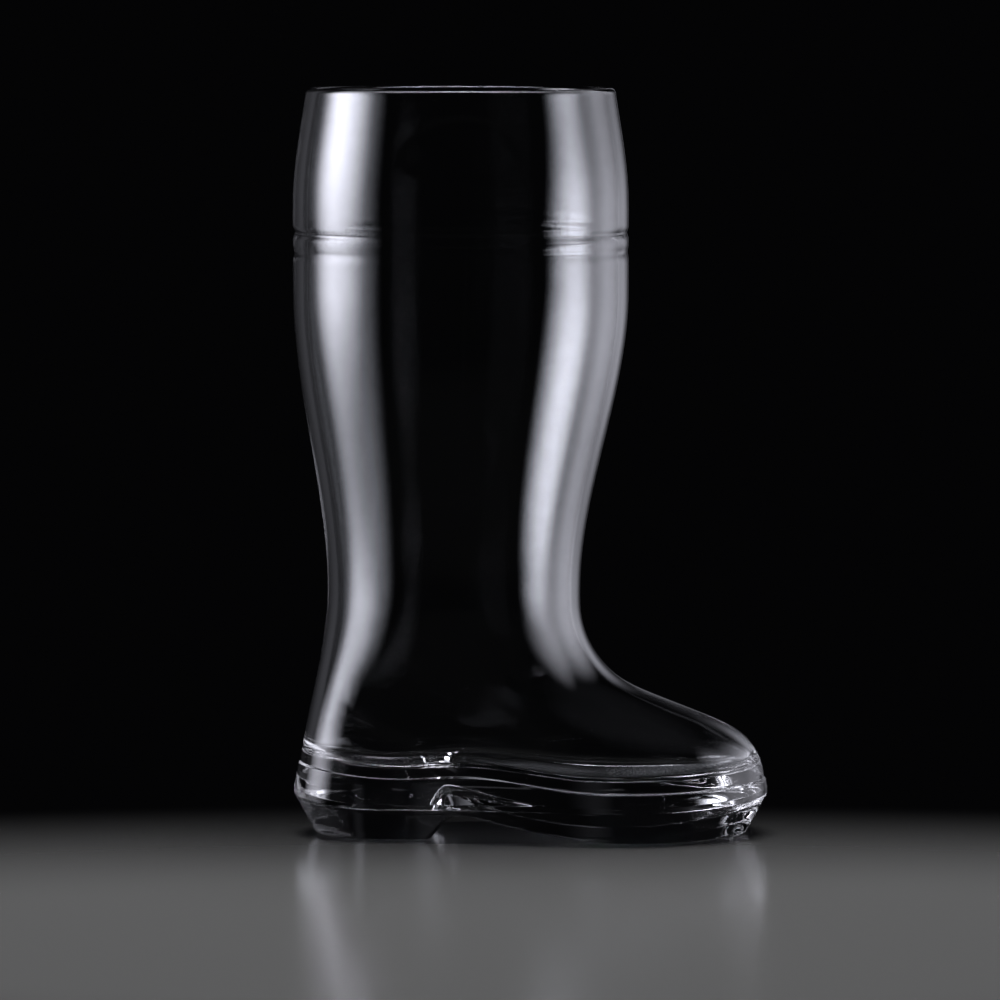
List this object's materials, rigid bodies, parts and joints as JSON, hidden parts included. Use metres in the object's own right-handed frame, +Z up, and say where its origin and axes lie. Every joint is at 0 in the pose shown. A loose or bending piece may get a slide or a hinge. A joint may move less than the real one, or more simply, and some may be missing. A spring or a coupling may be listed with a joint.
{
  "type": "beer boot glass",
  "caption": "Clear glass drinking boot with a round leg, a moulded groove under the cuff, a hollow foot, and a thick solid sole and heel.",
  "frame": {"origin": "middle of the boot's box, on the plane that the heel and the sole stand on", "axes": "+X towards the toe, +Z up along the leg, Y across; the boot is symmetric about y = 0"},
  "size_m": [0.1431, 0.101, 0.225],
  "materials": {
    "glass": "polished"
  },
  "bodies": {
    "root": {"rim": "glass", "cuff": "glass", "leg": "glass", "foot": "glass", "sole": "glass", "heel": "glass"}
  },
  "joints": []
}
